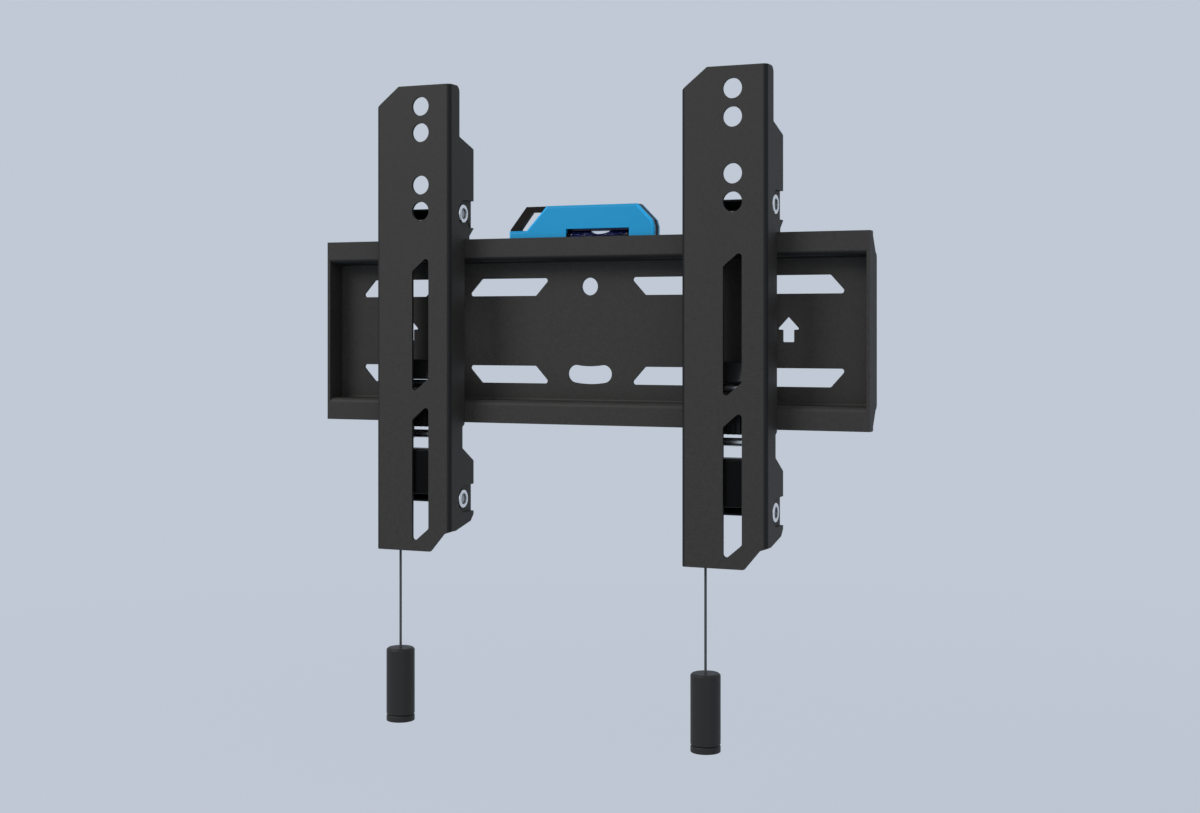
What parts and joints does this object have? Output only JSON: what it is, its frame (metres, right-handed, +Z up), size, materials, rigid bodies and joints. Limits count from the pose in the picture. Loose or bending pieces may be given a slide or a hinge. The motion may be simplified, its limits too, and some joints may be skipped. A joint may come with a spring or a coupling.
{
  "type": "fixed tv wall bracket",
  "caption": "Flat wall plate with two slotted hook-on arms, pull-cord latches under them and a small spirit level standing in its top edge.",
  "frame": {"origin": "the middle of the wall plate's back face, on the wall plane", "axes": "+Z up, -Y out of the wall towards the screen, +X to the right as seen from the screen's side"},
  "size_m": [0.275, 0.028, 0.3062],
  "materials": {
    "black_steel": "fine-textured matt black powder coat",
    "bright_steel": "bright zinc plate",
    "spring_steel": "drawn steel wire",
    "black_plastic": "moulded black plastic",
    "handle_plastic": "fine matt moulded plastic",
    "level_plastic": "satin blue moulded plastic",
    "vial_clear": "clear polished",
    "vial_liquid": "dark blue liquid",
    "cord": "fine braided cord",
    "magnet": "plated magnet"
  },
  "bodies": {
    "root": {"wall_plate": "black_steel", "level_front_shell": "level_plastic", "level_frame": "black_plastic", "level_back_shell": "level_plastic", "level_magnets": "magnet", "level_vial_tube": "vial_clear", "level_vial_plugs": "black_plastic", "level_vial_liquid": "vial_liquid"},
    "left_arm": {"left_arm_channel": "black_steel", "left_upper_axle": "bright_steel", "left_upper_sleeve": "black_plastic", "left_lower_axle": "bright_steel", "left_lower_sleeve": "black_plastic", "left_guide_block": "black_plastic", "left_guide_rod": "bright_steel", "left_cord_spring": "spring_steel", "left_rod_spring": "spring_steel"},
    "left_latch": {"left_latch": "black_plastic", "left_latch_upper_pin": "bright_steel", "left_latch_lower_pin": "bright_steel", "left_cord_ferrule": "spring_steel", "left_pull_cord": "cord", "left_cord_stop": "spring_steel", "left_pull_handle": "handle_plastic", "left_handle_cap": "handle_plastic", "left_handle_magnet": "magnet"},
    "right_arm": {"right_arm_channel": "black_steel", "right_upper_axle": "bright_steel", "right_upper_sleeve": "black_plastic", "right_lower_axle": "bright_steel", "right_lower_sleeve": "black_plastic", "right_guide_block": "black_plastic", "right_guide_rod": "bright_steel", "right_cord_spring": "spring_steel", "right_rod_spring": "spring_steel"},
    "right_latch": {"right_latch": "black_plastic", "right_latch_upper_pin": "bright_steel", "right_latch_lower_pin": "bright_steel", "right_cord_ferrule": "spring_steel", "right_pull_cord": "cord", "right_cord_stop": "spring_steel", "right_pull_handle": "handle_plastic", "right_handle_cap": "handle_plastic", "right_handle_magnet": "magnet"}
  },
  "joints": [
    {"name": "left_arm_slide", "type": "slide", "parent": "root", "child": "left_arm", "axis": [1, 0, 0], "range_m": [-0.034, 0.021]},
    {"name": "right_arm_slide", "type": "slide", "parent": "root", "child": "right_arm", "axis": [1, 0, 0], "range_m": [-0.019, 0.039]},
    {"name": "left_latch_pull", "type": "slide", "parent": "left_arm", "child": "left_latch", "axis": [0, 0, -1], "range_m": [0, 0.0041], "stiffness_N_per_m": 600, "springref_m": -0.01, "deforming": ["left_cord_spring", "left_rod_spring"]},
    {"name": "right_latch_pull", "type": "slide", "parent": "right_arm", "child": "right_latch", "axis": [0, 0, -1], "range_m": [0, 0.0041], "stiffness_N_per_m": 600, "springref_m": -0.01, "deforming": ["right_cord_spring", "right_rod_spring"]}
  ]
}
